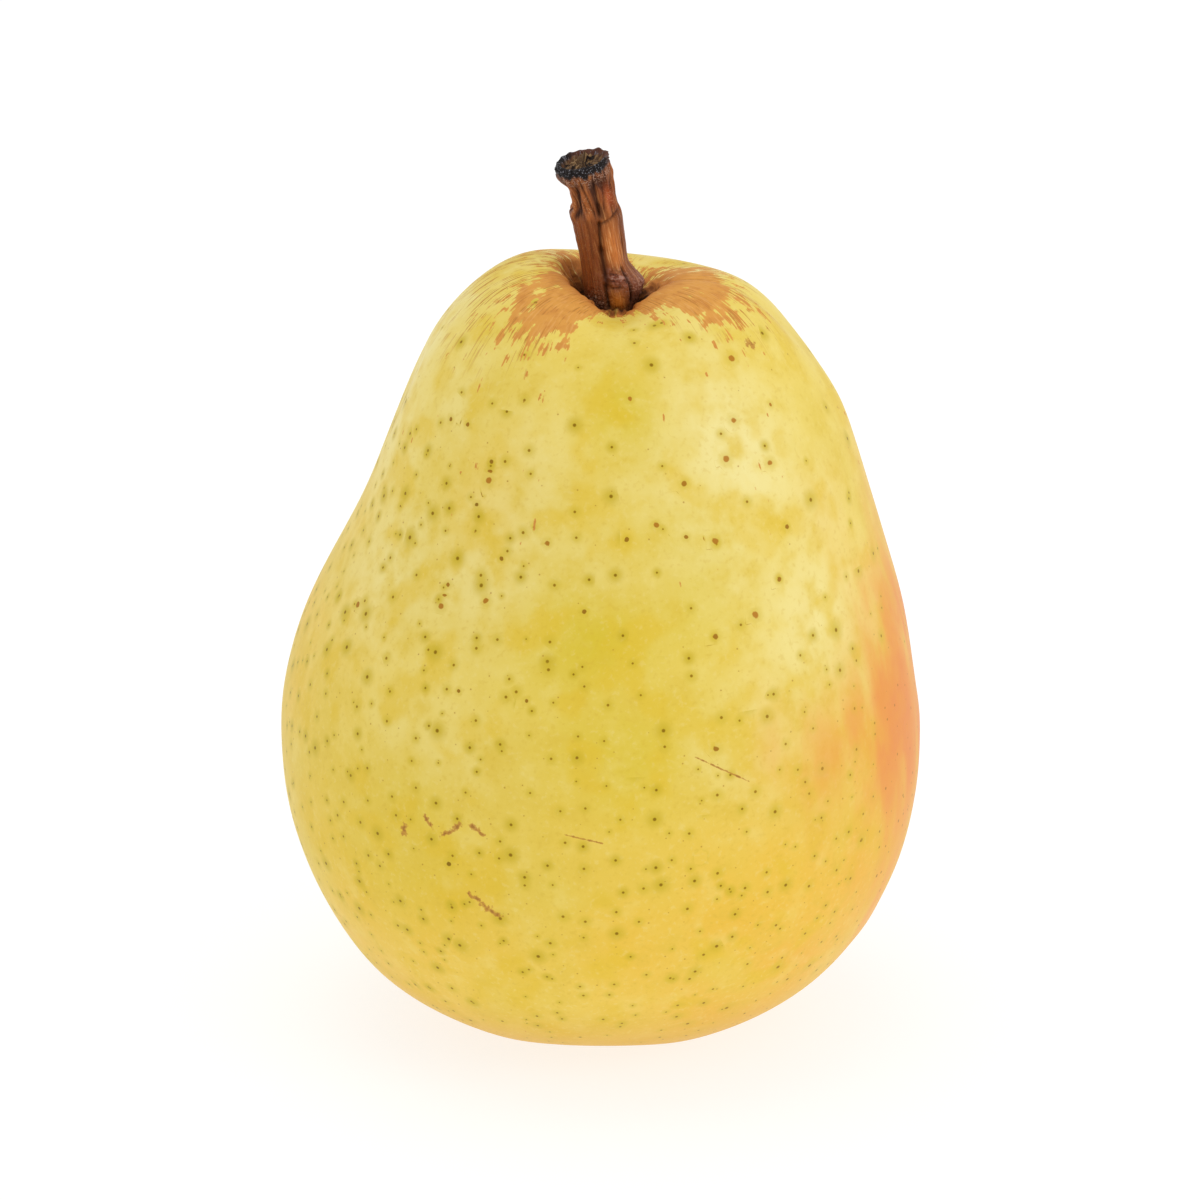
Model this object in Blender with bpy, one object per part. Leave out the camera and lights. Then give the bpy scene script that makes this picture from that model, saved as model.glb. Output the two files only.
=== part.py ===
"""A ripe pear as picked: the fruit, its woody stem and the dried calyx at its eye.

It stands upright on the low lobes round its calyx. Metres, +Z up, +X to the viewer's right and
-Y towards the viewer. The origin lies on the table under the middle of the fruit.
"""

import bmesh
import bpy
import numpy as np

MM = 0.001

# The fruit: its mean outline as (radius, height) in mm, from the stem's hollow over the crown, down
# the neck and the belly, and under the lobes into the hollow of the eye
CROWN_OUTLINE_MM = [(3.8, 83.6), (4.7, 84.9), (6.2, 86.6), (8.9, 87.1), (13.3, 86.3), (17.9, 83.0)]
NECK_OUTLINE_MM = [(21.7, 77.8), (24.9, 71.4), (27.6, 64.0), (30.8, 56.0), (34.1, 47.6)]
BELLY_OUTLINE_MM = [(35.8, 39.0), (36.1, 30.0), (34.7, 21.4), (31.3, 13.4), (26.2, 6.7), (19.5, 2.1)]
EYE_OUTLINE_MM = [(14.4, 0.1), (11.0, -0.4), (7.6, 1.6), (4.8, 4.3), (3.3, 5.0)]
RINGS_PER_SPAN = 2
FRUIT_SEGMENTS = 64
DEPTH_SHARE = 0.975  # front to back against side to side

# How far the fruit's middle lies to the right, in mm, at each height in mm
AXIS_DRIFT_MM = [(0, 0.3), (8, 0.3), (32, 0.0), (48, 0.6), (64, 2.3), (78, 1.7), (84, 1.6), (88, 1.6)]

# The crown leans to the left, has a cheek on each side of the stem, and a notch in front of it
CROWN_RADIUS = 7.5 * MM
CROWN_REACH = 8.0 * MM
CROWN_LEAN = 0.9 * MM
CHEEK_HEIGHT = 0.8 * MM
CHEEK_AZIMUTH = np.radians(-20)
NOTCH_DEPTH = 2.2 * MM
NOTCH_AZIMUTH = np.radians(-88)
NOTCH_HALF_WIDTH = np.radians(26)

# The base: five lobes, cut flat where the fruit stands, and soft furrows between them
LOBES = 5
FURROW_DEPTH = 1.3 * MM
LOBE_AZIMUTH = np.radians(-56)
LOBE_RADIUS = 13.0 * MM
LOBE_REACH = 7.0 * MM

# Slow waves over the whole skin, which keep the fruit from looking turned
WAVE_HEIGHT = 0.18 * MM
WAVE_LENGTH = 70.0 * MM

# The plain holes in the fruit that the stem and the calyx stand in, and the gap at their floors
STEM_HOLE_FLOOR = 79.0 * MM
CALYX_HOLE_FLOOR = 6.6 * MM
GAP = 0.3 * MM

# The stem: its middle line as (height, x), and its mean radius as (radius, height), in mm
STEM_LINE_MM = [(79.3, 1.6), (85.0, 1.3), (90.0, 0.2), (95.0, -0.65), (100.4, -2.0)]
STEM_SIDE_MM = [(3.1, 80.2), (3.15, 83.6), (3.0, 86.0), (2.7, 89.0), (2.7, 92.6), (2.6, 95.6), (2.95, 98.4)]
STEM_CUT_MM = [(2.95, 99.6), (2.6, 100.2), (1.9, 99.9), (0.9, 100.0)]
STEM_SEGMENTS = 28
CUT_SLOPE_RIGHT = 0.20  # the cut end rises to the right, square to the leaning stem
CUT_SLOPE_BACK = 0.24
CUT_HEIGHT = 98.0 * MM

# What stands out of the stem's round section, by azimuth and half width in degrees, height in mm,
# and the height in mm above the table where it is strongest with its reach up and down
STEM_RELIEF = [
    (10, 55, 0.50, 85.6, 2.2),  # the swelling at the foot's right
    (-62, 30, 0.25, 88.0, 5.0),  # the rounded ridge right of the groove
    (-98, 13, -0.60, 88.5, 4.5),  # the groove down the front
    (-140, 28, -0.15, 90.0, 6.0),  # the flat fibrous side on the left
    (120, 30, 0.25, 92.0, 6.0),  # a ridge at the back
    (180, 45, -0.25, 95.6, 0.6),  # the nick under the crusted end
    (180, 60, 0.25, 98.6, 1.6),  # the crusted end's overhang on the left
]
KNUCKLE_HEIGHT = 94.0 * MM  # the scar where a leaf stood, a low ring that falls to the right
KNUCKLE_RISE = 0.2 * MM
KNUCKLE_REACH = 0.8 * MM
KNUCKLE_SLOPE = 0.17

# The calyx: a cup of five dried sepals with the remains of the style in it, (radius, height) in mm
CUP_OUTSIDE_MM = [(2.2, 6.2), (2.6, 5.9), (2.75, 4.9)]
SEPAL_OUTSIDE_MM = [(2.9, 4.1), (3.5, 3.3), (4.4, 2.7), (5.3, 2.0)]
SEPAL_INSIDE_MM = [(4.2, 2.1), (3.2, 2.7), (2.5, 3.6)]
CUP_INSIDE_MM = [(2.1, 4.4), (1.4, 5.0), (0.8, 4.4), (0.45, 3.4)]
STYLE_TIP = 3.0 * MM
SEPALS = 5
SEPAL_AZIMUTH = np.radians(20)
SHORTEST_REACH = 0.1  # of a sepal's length, in the cleft between two sepals
CALYX_SEGMENTS = 40

SKIN_COLOUR = (0.78, 0.56, 0.12, 1.0)
BARK_COLOUR = (0.20, 0.09, 0.035, 1.0)
SEPAL_COLOUR = (0.06, 0.035, 0.018, 1.0)


def spline_through(points):
    """The natural cubic spline through the points, as a function of 0 to len(points) - 1."""
    knots = np.array(points, float)
    last = len(knots) - 1
    weights = np.eye(last + 1)
    steps = np.zeros_like(knots)
    for i in range(1, last):
        weights[i, i - 1 : i + 2] = (1, 4, 1)
        steps[i] = 6 * (knots[i - 1] - 2 * knots[i] + knots[i + 1])
    bend = np.linalg.solve(weights, steps)

    def at(position):
        i = np.clip(np.floor(position).astype(int), 0, last - 1)
        b = (position - i)[:, None]
        a = 1 - b
        chord = a * knots[i] + b * knots[i + 1]
        return chord + ((a**3 - a) * bend[i] + (b**3 - b) * bend[i + 1]) / 6

    return at


def smooth_outline(points_mm, rings_per_span):
    """Points in metres along the spline through an outline."""
    spans = len(points_mm) - 1
    return MM * spline_through(points_mm)(np.linspace(0, spans, spans * rings_per_span + 1))


def offset_at(height, points_mm):
    """The sideways offset, in metres, that (height, offset) points give at each height."""
    heights, _ = np.array(points_mm, float).T
    position = np.interp(height / MM, heights, np.arange(len(heights)))
    return MM * spline_through(points_mm)(position)[:, 1]


def fade(distance, reach):
    """1 at no distance, falling smoothly to nothing at about twice the reach."""
    return np.exp(-((distance / reach) ** 2))


def turn_from(azimuth, start):
    """The angle from start to each azimuth, the shorter way round."""
    return (azimuth - start + np.pi) % (2 * np.pi) - np.pi


def add_material(name, colour, roughness):
    material = bpy.data.materials.new(name)
    material.use_nodes = True
    shader = material.node_tree.nodes["Principled BSDF"]
    shader.inputs["Base Color"].default_value = colour
    shader.inputs["Roughness"].default_value = roughness
    shader.inputs["Metallic"].default_value = 0.0
    return material


def turned_object(name, outline, segments, shape, material):
    """Spins an outline that starts and ends on the axis, then moves its points with shape."""
    mesh_code = bmesh.new()
    chain = [mesh_code.verts.new((radius, 0, height)) for radius, height in outline]
    edges = [mesh_code.edges.new(pair) for pair in zip(chain, chain[1:])]
    bmesh.ops.spin(
        mesh_code,
        geom=chain + edges,
        cent=(0, 0, 0),
        axis=(0, 0, 1),
        angle=2 * np.pi,
        steps=segments,
    )
    bmesh.ops.remove_doubles(mesh_code, verts=mesh_code.verts, dist=0.01 * MM)
    bmesh.ops.recalc_face_normals(mesh_code, faces=mesh_code.faces)
    mesh = bpy.data.meshes.new(name)
    mesh_code.to_mesh(mesh)
    mesh_code.free()

    points = np.empty(3 * len(mesh.vertices), np.float32)
    mesh.vertices.foreach_get("co", points)
    x, y, height = points.reshape(-1, 3).astype(float).T
    moved = np.stack(shape(np.hypot(x, y), np.arctan2(y, x), height), axis=1)
    mesh.vertices.foreach_set("co", moved.astype(np.float32).ravel())
    mesh.materials.append(material)
    mesh.shade_smooth()
    mesh.set_sharp_from_angle(angle=np.radians(50))
    made = bpy.data.objects.new(name, mesh)
    bpy.context.scene.collection.objects.link(made)
    return made


def shape_fruit(radius, azimuth, height):
    """Gives the turned fruit its cheeks, notch, waves, drift and lobes."""
    x = radius * np.cos(azimuth)
    y = radius * np.sin(azimuth)
    on_crown = fade(radius - CROWN_RADIUS, CROWN_REACH) * (height > 60 * MM)
    on_crown = on_crown * np.clip((radius - 3.9 * MM) / (2 * MM), 0, 1)
    turn = turn_from(azimuth, NOTCH_AZIMUTH)
    rise = -CROWN_LEAN * np.cos(azimuth) + CHEEK_HEIGHT * np.cos(2 * (azimuth - CHEEK_AZIMUTH))
    rise = rise - NOTCH_DEPTH * fade(turn, NOTCH_HALF_WIDTH)

    phase = 2 * np.pi * height / WAVE_LENGTH
    wave = np.sin(2 * azimuth + phase) + np.sin(3 * azimuth - 1.6 * phase + 1)
    on_side = np.sin(np.pi * np.clip(height / (84 * MM), 0, 1)) * (radius > 14 * MM)
    swell = 1 + WAVE_HEIGHT * wave * on_side / np.maximum(radius, 14 * MM)

    furrow = 0.5 - 0.5 * np.cos(LOBES * (azimuth - LOBE_AZIMUTH))
    under = fade(radius - LOBE_RADIUS, LOBE_REACH) * (height < 20 * MM) * (radius > 4 * MM)
    lifted = height + rise * on_crown + FURROW_DEPTH * furrow * under
    return x * swell + offset_at(height, AXIS_DRIFT_MM), y * swell * DEPTH_SHARE, np.maximum(lifted, 0)


def shape_stem(radius, azimuth, height):
    """Bends the turned stem along its line and gives it its ridges, knuckle and slanting cut."""
    relief = np.zeros_like(radius)
    for where, half_width, rise, level, reach in STEM_RELIEF:
        around = fade(turn_from(azimuth, np.radians(where)), np.radians(half_width))
        relief += rise * MM * around * fade(height - level * MM, reach * MM)
    ring = height - KNUCKLE_HEIGHT + KNUCKLE_SLOPE * radius * np.cos(azimuth)
    relief += KNUCKLE_RISE * fade(ring, KNUCKLE_REACH)
    on_side = np.clip(radius / (2.6 * MM), 0, 1)
    radius = radius + relief * on_side
    x = radius * np.cos(azimuth)
    y = radius * np.sin(azimuth)
    near_cut = np.clip((height - 90 * MM) / (CUT_HEIGHT - 90 * MM), 0, 1)
    slant = near_cut * (CUT_SLOPE_RIGHT * x + CUT_SLOPE_BACK * y)
    return x + offset_at(height, STEM_LINE_MM), y, height + slant


def shape_calyx(radius, azimuth, height):
    """Cuts the turned flare back between the five sepals, and moves it under the fruit's eye."""
    lip_radius, lip_height = SEPAL_OUTSIDE_MM[0]
    beyond = np.clip((lip_height * MM - height) / MM, 0, 1) * (radius > 2.2 * MM)
    reach = np.abs(np.cos(0.5 * SEPALS * (azimuth - SEPAL_AZIMUTH))) ** 1.5
    reach = 1 - beyond * (1 - SHORTEST_REACH) * (1 - reach)
    radius = lip_radius * MM + (radius - lip_radius * MM) * np.where(beyond > 0, reach, 1)
    height = np.where(beyond > 0, lip_height * MM + (height - lip_height * MM) * reach, height)
    x = radius * np.cos(azimuth) + AXIS_DRIFT_MM[0][1] * MM
    return x, radius * np.sin(azimuth), height


def make_fruit():
    skin = smooth_outline(
        CROWN_OUTLINE_MM + NECK_OUTLINE_MM + BELLY_OUTLINE_MM + EYE_OUTLINE_MM, RINGS_PER_SPAN
    )
    stem_hole = [(0, STEM_HOLE_FLOOR), (skin[0][0], STEM_HOLE_FLOOR)]
    calyx_hole = [(skin[-1][0], CALYX_HOLE_FLOOR), (0, CALYX_HOLE_FLOOR)]
    outline = stem_hole + list(skin) + calyx_hole
    material = add_material("pear_skin", SKIN_COLOUR, 0.42)
    return turned_object("fruit", outline, FRUIT_SEGMENTS, shape_fruit, material)


def make_stem():
    foot = STEM_HOLE_FLOOR + GAP
    side = smooth_outline(STEM_SIDE_MM, 3)
    cut = smooth_outline([STEM_SIDE_MM[-1]] + STEM_CUT_MM, 1)[1:]
    outline = [(0, foot), (2.7 * MM, foot)] + list(side) + list(cut) + [(0, cut[-1][1])]
    material = add_material("stem_bark", BARK_COLOUR, 0.8)
    return turned_object("stem", outline, STEM_SEGMENTS, shape_stem, material)


def make_calyx():
    foot = CALYX_HOLE_FLOOR - GAP
    points = CUP_OUTSIDE_MM + SEPAL_OUTSIDE_MM + SEPAL_INSIDE_MM + CUP_INSIDE_MM
    outline = [(0, foot)] + [(r * MM, z * MM) for r, z in points] + [(0, STYLE_TIP)]
    material = add_material("dried_sepal", SEPAL_COLOUR, 0.85)
    return turned_object("calyx", outline, CALYX_SEGMENTS, shape_calyx, material)


def main():
    for old in list(bpy.data.objects):
        bpy.data.objects.remove(old)
    make_fruit()
    make_stem()
    make_calyx()


main()
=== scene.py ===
"""The looks of a ripe pear: waxy yellow skin with russet, blush and lenticels, a woody stem and
a dried calyx. Metres, +Z up, +X to the viewer's right and -Y towards the viewer, as in the CAD.
Names that end in _MM hold millimetres, and azimuths are degrees from +X, so -90 faces the viewer.
"""

from functools import partial

import bpy
import numpy as np
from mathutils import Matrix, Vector, noise


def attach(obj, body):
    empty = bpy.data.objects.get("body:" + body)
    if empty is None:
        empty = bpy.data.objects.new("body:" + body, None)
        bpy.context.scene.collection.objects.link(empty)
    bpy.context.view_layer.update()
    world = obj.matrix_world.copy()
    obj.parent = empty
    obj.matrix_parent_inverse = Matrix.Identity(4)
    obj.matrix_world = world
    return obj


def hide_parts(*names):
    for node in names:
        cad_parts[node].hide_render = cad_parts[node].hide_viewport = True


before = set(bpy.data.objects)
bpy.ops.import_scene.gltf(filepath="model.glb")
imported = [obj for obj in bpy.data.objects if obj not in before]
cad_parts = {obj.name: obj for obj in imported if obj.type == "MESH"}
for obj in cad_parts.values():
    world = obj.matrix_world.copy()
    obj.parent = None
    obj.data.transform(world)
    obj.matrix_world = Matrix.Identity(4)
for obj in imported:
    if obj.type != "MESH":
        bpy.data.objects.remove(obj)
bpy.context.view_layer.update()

MM = 0.001
SKIN_RADIUS_MM = 30  # about the fruit's radius: turns an angle into a distance over its skin
STEM_RADIUS_MM = 2.7  # and the stem's
CALYX_RADIUS_MM = 3  # and the calyx's
NOISE_STEP = 17.3  # moves each numbered noise to a place of its own
rng = np.random.default_rng(20)

# The photograph's view: a little above the fruit, with a long lens
VIEW_HEIGHT = np.radians(20)
VIEW_DISTANCE = 0.55
VIEW_TARGET = (0, 0, 48.96 * MM)
LENS_MM = 146.4
SENSOR_MM = 36

# The studio: an even surround, paper with a little glow, and softboxes as (place, width, power)
SURROUND_STRENGTH = 0.705
PAPER_HALF_WIDTH = 3.0
PAPER_GLOW = 0.745
PAPER_TOOTH = 2 / 3 * MM  # real paper has 0.1 mm, too fine to draw
LIGHTS_AIM = (0, 0, 50 * MM)
SOFTBOXES = {
    "key_softbox": ((0.83, -0.42, 0.45), 0.5, 1.6),
    "top_softbox": ((-0.1, 0.1, 1.1), 0.9, 2.6),
}

# The fruit's mean outline as (radius, height), as in the CAD, but with the skin drawn in to the stem
MOUTH_OUTLINE_MM = [(3.25, 81.5), (3.35, 83.0), (3.75, 83.9)]
CROWN_OUTLINE_MM = [(4.7, 84.9), (6.2, 86.6), (8.9, 87.1), (13.3, 86.3), (17.9, 83.0)]
NECK_OUTLINE_MM = [(21.7, 77.8), (24.9, 71.4), (27.6, 64.0), (30.8, 56.0), (34.1, 47.6)]
BELLY_OUTLINE_MM = [(35.8, 39.0), (36.1, 30.0), (34.7, 21.4), (31.3, 13.4), (26.2, 6.7), (19.5, 2.1)]
EYE_OUTLINE_MM = [(14.4, 0.1), (11.0, -0.4), (7.6, 1.6), (4.8, 4.3), (3.3, 5.0)]
SKIN_RINGS_PER_SPAN = 11
SKIN_SEGMENTS = 320
DEPTH_SHARE = 0.975
AXIS_DRIFT_MM = [(0, 0.3), (8, 0.3), (32, 0.0), (48, 0.6), (64, 2.3), (78, 1.7), (84, 1.6), (88, 1.6)]
CROWN_START = 60 * MM  # above it the skin's places are measured from the stem, below it from the eye
MOUTH_RADIUS = 3.9 * MM
CROWN_RADIUS = 7.5 * MM
CROWN_REACH = 8.0 * MM
CROWN_LEAN = 0.9 * MM
CHEEK_HEIGHT = 0.8 * MM
CHEEK_AZIMUTH = np.radians(-20)
NOTCH_DEPTH = 2.2 * MM
NOTCH_AZIMUTH = np.radians(-88)
NOTCH_HALF_WIDTH = np.radians(26)
LOBES = 5
FURROW_DEPTH = 1.3 * MM
LOBE_AZIMUTH = np.radians(-56)
LOBE_RADIUS = 13.0 * MM
LOBE_REACH = 7.0 * MM
UNDERSIDE_TOP = 20 * MM
EYE_RADIUS = 4 * MM
SIDE_TOP = 84 * MM
SIDE_RADIUS = 14 * MM
WAVE_HEIGHT = 0.18 * MM
WAVE_LENGTH = 70.0 * MM
STEM_HOLE_FLOOR = 79.0 * MM
CALYX_HOLE_FLOOR = 6.6 * MM

# Small swellings that the CAD leaves out: slow lumps, and puckers where the skin meets the stem
LUMPS_MM = [(17.0, 0.16), (9.0, 0.07)]  # size and height
SWELLINGS_MM = [  # azimuth, height, half width and rise
    (180, 18, 8, -0.95),
    (180, 38, 6, 0.3),
    (0, 10, 6, 1.1),
    (0, 43, 8, -0.35),
    (0, 36, 3, 0.15),
    (0, 84, 5, -0.8),
    (0, 73, 4, 0.35),
    (180, 74, 5, -0.6),
]
PUCKER_HEIGHT = 0.26 * MM
PUCKER_RADIUS = 4.2 * MM
PUCKER_REACH = 1.8 * MM

# The stem's middle line as (height, x) and its outline as (radius, height), as in the CAD
STEM_LINE_MM = [(79.3, 1.6), (85.0, 1.3), (90.0, 0.2), (95.0, -0.65), (100.4, -2.0)]
STEM_SIDE_MM = [(3.1, 80.2), (3.15, 83.6), (3.0, 86.0), (2.7, 89.0), (2.7, 92.6), (2.6, 95.6), (2.95, 98.4)]
STEM_CUT_MM = [(2.95, 99.6), (2.6, 100.2), (1.9, 99.9), (0.9, 100.0)]
STEM_FOOT = 79.3 * MM
STEM_SEGMENTS = 240
SIDE_RINGS_PER_SPAN = 25
CUT_RINGS_PER_SPAN = 8
CUT_SLOPE_RIGHT = 0.20
CUT_SLOPE_BACK = 0.13
SLANT_START = 90.0 * MM
SLANT_FULL = 98.0 * MM
FIBRES_TOP = 99.7 * MM
CRUMBS_TOP = 100.1 * MM

# What stands out of the stem's round section, by azimuth and half width in degrees, height in mm,
# and the level in mm above the table with its reach up and down
STEM_RELIEF = [
    (-18, 46, 0.95, 86.7, 1.2),
    (0, 50, -0.16, 89.0, 1.0),  # drawn in over the swelling
    (180, 50, -0.08, 89.4, 2.2),
    (0, 50, -0.30, 84.0, 0.8),
    (0, 60, -0.26, 98.6, 2.2),  # and under the cut, on the right
    (5, 45, -0.10, 99.3, 0.5),
    (5, 45, 0.32, 100.3, 0.5),
    (-62, 30, 0.25, 88.0, 5.0),
    (-98, 15, -0.38, 88.5, 4.5),
    (-140, 28, -0.15, 90.0, 6.0),
    (120, 30, 0.25, 92.0, 6.0),
    (180, 46, -0.90, 96.2, 1.1),
    (180, 55, -0.75, 97.6, 0.8),
    (180, 60, 0.25, 98.6, 1.6),
    (-79, 12, 0.36, 84.9, 1.1),  # the toe at the foot
    (-42, 20, 0.10, 96.3, 1.0),  # the smooth bump over the knuckle
    (180, 36, -0.50, 95.2, 0.45),  # the ledge's undercut on the left
    (176, 34, 0.20, 94.1, 0.8),  # the ledge
]

# Long clefts in the stem, as (azimuth, height) at both ends, half width in mm and depth in mm
STEM_CLEFTS = [
    ((-82, 94.2), (-90, 90.0), 0.22, 0.38),
    ((-87, 91.2), (-97, 85.8), 0.36, 0.36),
    ((-74, 98.6), (-78, 94.4), 0.16, 0.30),
    ((-104, 98.8), (-90, 94.6), 0.14, 0.26),
    ((-122, 98.8), (-104, 94.9), 0.12, 0.18),
    ((-146, 98.7), (-136, 95.4), 0.13, 0.22),
    ((-52, 98.4), (-66, 94.9), 0.13, 0.20),
    ((-90, 93.5), (-16, 94.6), 0.16, 0.26),
    ((60, 98.0), (50, 86.0), 0.20, 0.30),
    ((100, 98.2), (92, 90.0), 0.16, 0.26),
    ((150, 94.6), (146, 86.0), 0.18, 0.24),
    ((22, 98.0), (14, 91.0), 0.15, 0.22),
    ((-134, 93.8), (-128, 86.5), 0.08, 0.05),
    ((-112, 94.2), (-116, 85.5), 0.08, 0.05),
    ((-156, 94.0), (-150, 87.0), 0.10, 0.08),
    ((-90, 86.3), (-66, 86.5), 0.10, 0.20),
    ((-52, 88.8), (-49, 84.4), 0.15, 0.42),
    ((-101, 86.8), (-98, 83.8), 0.17, 0.36),
    ((-24, 94.4), (-28, 89.6), 0.08, 0.10),
]
KNUCKLE_HEIGHT = 94.0 * MM
KNUCKLE_RISE = 0.1 * MM
KNUCKLE_REACH = 0.8 * MM
KNUCKLE_SLOPE = 0.17

# Zones of the bark that differ from the rest, as (azimuth, half width, height mm, reach mm)
STEM_ZONES = {
    "ridge": (-58, 24, 90.6, 3.4),
    # the smooth bump over the knuckle, whose pale flecks are partly painted highlights
    "rubbed": (-42, 18, 96.3, 1.2),
    "crackle": (-68, 26, 87.4, 1.0),
    "toe": (-79, 17, 84.9, 1.2),
    "knob": (-12, 44, 86.0, 1.6),
    "crumple": (-128, 38, 84.9, 1.4),
}
CRUMPLED_ZONES = ("crackle", "knob", "crumple")
CRUST_EDGE = 99.25 * MM
CRUST_RAGGED = 1.0 * MM

# The calyx's outline as (radius, height), as in the CAD
CUP_OUTSIDE_MM = [(2.2, 6.2), (2.6, 5.9), (2.75, 4.9)]
SEPAL_OUTSIDE_MM = [(2.9, 4.1), (3.5, 3.3), (4.4, 2.7), (5.3, 2.0)]
SEPAL_INSIDE_MM = [(4.2, 2.1), (3.2, 2.7), (2.5, 3.6)]
CUP_INSIDE_MM = [(2.1, 4.4), (1.4, 5.0), (0.8, 4.4), (0.45, 3.4)]
CALYX_FOOT = 6.3 * MM
STYLE_TIP = 3.0 * MM
SEPALS = 5
SEPAL_AZIMUTH = np.radians(20)
SEPAL_LENGTHS = np.array([1.0, 0.82, 0.94, 0.74, 0.88])
SEPAL_CURLS = np.array([0.5, -0.2, 0.7, 0.1, 0.4])  # mm up at the tip
SHORTEST_REACH = 0.1
CALYX_SEGMENTS = 240
CALYX_RINGS_PER_SPAN = 8


def spline_through(points):
    """The natural cubic spline through the points, as a function of 0 to len(points) - 1."""
    knots = np.array(points, float)
    last = len(knots) - 1
    weights = np.eye(last + 1)
    steps = np.zeros_like(knots)
    for i in range(1, last):
        weights[i, i - 1 : i + 2] = (1, 4, 1)
        steps[i] = 6 * (knots[i - 1] - 2 * knots[i] + knots[i + 1])
    bend = np.linalg.solve(weights, steps)

    def at(position):
        i = np.clip(np.floor(position).astype(int), 0, last - 1)
        b = (position - i)[:, None]
        a = 1 - b
        chord = a * knots[i] + b * knots[i + 1]
        return chord + ((a**3 - a) * bend[i] + (b**3 - b) * bend[i + 1]) / 6

    return at


def smooth_outline(points_mm, rings_per_span):
    """Points in metres along the spline through an outline."""
    spans = len(points_mm) - 1
    return MM * spline_through(points_mm)(np.linspace(0, spans, spans * rings_per_span + 1))


def offset_at(height, points_mm):
    """The sideways offset, in metres, that (height, offset) points give at each height."""
    heights, _ = np.array(points_mm, float).T
    position = np.interp(height / MM, heights, np.arange(len(heights)))
    return MM * spline_through(points_mm)(position)[:, 1]


def fade(distance, reach):
    """1 at no distance, falling smoothly to nothing at about twice the reach."""
    return np.exp(-((distance / reach) ** 2))


def turn_from(azimuth, start):
    """The angle from start to each azimuth, the shorter way round."""
    return (azimuth - start + np.pi) % (2 * np.pi) - np.pi


def smooth_step(value, low, high):
    """0 below low and 1 above high, with soft ends."""
    share = np.clip((value - low) / (high - low), 0, 1)
    return share * share * (3 - 2 * share)


def rough(points, size, seed=0):
    """Noise from about -1 to 1 at each point, with lumps of the given size along x, y and z."""
    scaled = points / np.array(size) + NOISE_STEP * (1 + seed)
    return np.array([noise.noise(Vector(p)) for p in scaled])


def wrapped(radius_mm, azimuth, along):
    """Each point's place on a cylinder of even radius, which noises and fibres follow."""
    return np.stack([radius_mm * np.cos(azimuth), radius_mm * np.sin(azimuth), along], axis=1)


def turned_piece(name, outline, segments, shape):
    """Turns an outline that starts and ends on the axis, and moves its points with shape."""
    rings = np.array(outline)[1:-1]
    turn = np.linspace(-np.pi, np.pi, segments, endpoint=False)
    radius = np.concatenate([[0], np.repeat(rings[:, 0], segments), [0]])
    height = np.concatenate([[outline[0][1]], np.repeat(rings[:, 1], segments), [outline[-1][1]]])
    azimuth = np.concatenate([[0], np.tile(turn, len(rings)), [0]])
    points = np.stack(shape(radius, azimuth, height), axis=1)

    last = len(points) - 1
    start = 1 + segments * (len(rings) - 1)
    faces = []
    for i in range(segments):
        j = (i + 1) % segments
        faces.append((0, 1 + i, 1 + j))
        faces.append((last, start + j, start + i))
        for k in range(len(rings) - 1):
            a = 1 + k * segments
            faces.append((a + i, a + segments + i, a + segments + j, a + j))
    mesh = bpy.data.meshes.new(name)
    mesh.from_pydata(points.tolist(), [], faces)
    mesh.shade_smooth()
    piece = bpy.data.objects.new(name, mesh)
    bpy.context.scene.collection.objects.link(piece)
    return piece, radius, azimuth, height


def places(piece):
    """Every point of a piece, and its normal."""
    count = len(piece.data.vertices)
    points = np.empty(3 * count, np.float32)
    normals = np.empty(3 * count, np.float32)
    piece.data.vertices.foreach_get("co", points)
    piece.data.vertices.foreach_get("normal", normals)
    return points.reshape(-1, 3).astype(float), normals.reshape(-1, 3).astype(float)


def move_points(piece, points):
    piece.data.vertices.foreach_set("co", points.astype(np.float32).ravel())
    piece.data.update()


def keep_field(piece, name, values):
    """Keeps a number or a vector for each point of a piece, for its material to read."""
    kind, part = ("FLOAT", "value") if values.ndim == 1 else ("FLOAT_VECTOR", "vector")
    field = piece.data.attributes.new(name, kind, "POINT")
    field.data.foreach_set(part, values.astype(np.float32).ravel())


def shape_fruit(radius, azimuth, height):
    """Gives the turned fruit its cheeks, notch, waves, drift and lobes, as in the CAD."""
    x = radius * np.cos(azimuth)
    y = radius * np.sin(azimuth)
    on_crown = fade(radius - CROWN_RADIUS, CROWN_REACH) * (height > CROWN_START)
    on_crown = on_crown * np.clip((radius - MOUTH_RADIUS) / (2 * MM), 0, 1)
    turn = turn_from(azimuth, NOTCH_AZIMUTH)
    rise = -CROWN_LEAN * np.cos(azimuth) + CHEEK_HEIGHT * np.cos(2 * (azimuth - CHEEK_AZIMUTH))
    rise = rise - NOTCH_DEPTH * fade(turn, NOTCH_HALF_WIDTH)

    phase = 2 * np.pi * height / WAVE_LENGTH
    wave = np.sin(2 * azimuth + phase) + np.sin(3 * azimuth - 1.6 * phase + 1)
    on_side = np.sin(np.pi * np.clip(height / SIDE_TOP, 0, 1)) * (radius > SIDE_RADIUS)
    swell = 1 + WAVE_HEIGHT * wave * on_side / np.maximum(radius, SIDE_RADIUS)

    furrow = 0.5 - 0.5 * np.cos(LOBES * (azimuth - LOBE_AZIMUTH))
    under = fade(radius - LOBE_RADIUS, LOBE_REACH) * (height < UNDERSIDE_TOP) * (radius > EYE_RADIUS)
    lifted = height + rise * on_crown + FURROW_DEPTH * furrow * under
    return x * swell + offset_at(height, AXIS_DRIFT_MM), y * swell * DEPTH_SHARE, np.maximum(lifted, 0)


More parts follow.
